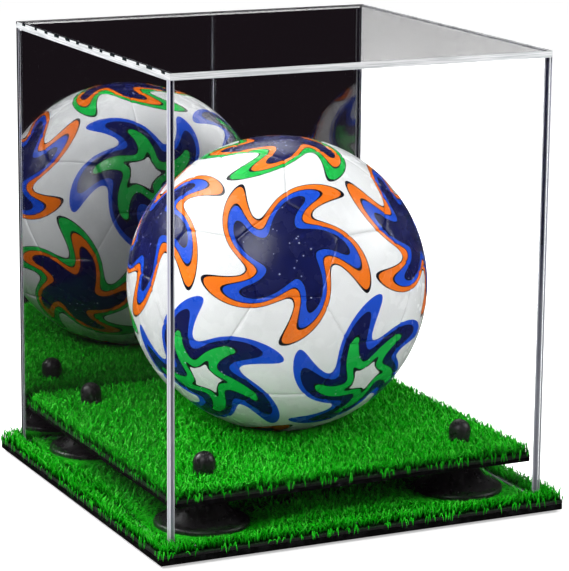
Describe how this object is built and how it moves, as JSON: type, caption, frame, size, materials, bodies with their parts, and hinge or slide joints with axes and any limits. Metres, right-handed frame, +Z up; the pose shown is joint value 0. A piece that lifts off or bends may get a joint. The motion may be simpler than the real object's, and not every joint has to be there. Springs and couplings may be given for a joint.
{
  "type": "soccer ball display case",
  "caption": "Clear acrylic cube display case with a mirrored back, a turf-covered black base and a raised turf platform on flared risers, holding a full-size soccer ball.",
  "frame": {"origin": "centre of the footprint, on the plane that the bumper feet stand on", "axes": "+X right along the front wall, +Y back to the mirror, +Z up"},
  "size_m": [0.3188, 0.3188, 0.3356],
  "materials": {
    "black_acrylic": "polished black acrylic board",
    "black_backing": "matt black latex turf backing",
    "green_turf": "bright green polyethylene turf pile",
    "bumper_rubber": "matt moulded rubber",
    "screw_steel": "zinc-plated machine screw",
    "black_gloss_plastic": "satin-gloss black moulded plastic",
    "clear_acrylic": "clear cast acrylic with polished edges",
    "mirror_acrylic": "second-surface acrylic mirror",
    "mirror_coat_paint": "grey protective paint over the silvering",
    "white_ball_leather": "glossy white synthetic leather",
    "navy_ball_leather": "glossy navy synthetic leather",
    "bladder_rubber": "black latex bladder",
    "valve_rubber": "black butyl rubber"
  },
  "bodies": {
    "plinth": {"base_board": "black_acrylic", "base_turf_backing": "black_backing", "base_turf_pile": "green_turf", "bumper_feet": "bumper_rubber", "riser_screws": "screw_steel", "platform_board": "black_acrylic", "platform_turf_backing": "black_backing", "platform_turf_pile": "green_turf", "riser_feet": "black_gloss_plastic", "riser_finials": "black_gloss_plastic"},
    "cover": {"cover_front_panel": "clear_acrylic", "cover_back_mirror": "mirror_acrylic", "mirror_coat": "mirror_coat_paint", "cover_left_panel": "clear_acrylic", "cover_right_panel": "clear_acrylic", "cover_top_panel": "clear_acrylic"},
    "ball": {"ball_hexagon_panels": "white_ball_leather", "ball_pentagon_panels": "navy_ball_leather", "ball_bladder": "bladder_rubber", "ball_valve": "valve_rubber"}
  },
  "joints": [
    {"name": "cover_lift", "type": "slide", "parent": "plinth", "child": "cover", "axis": [0, 0, 1], "range_m": [0, 0.32]},
    {"name": "ball_lift", "type": "slide", "parent": "plinth", "child": "ball", "axis": [0, 0, 1], "range_m": [0, 0.068]}
  ]
}
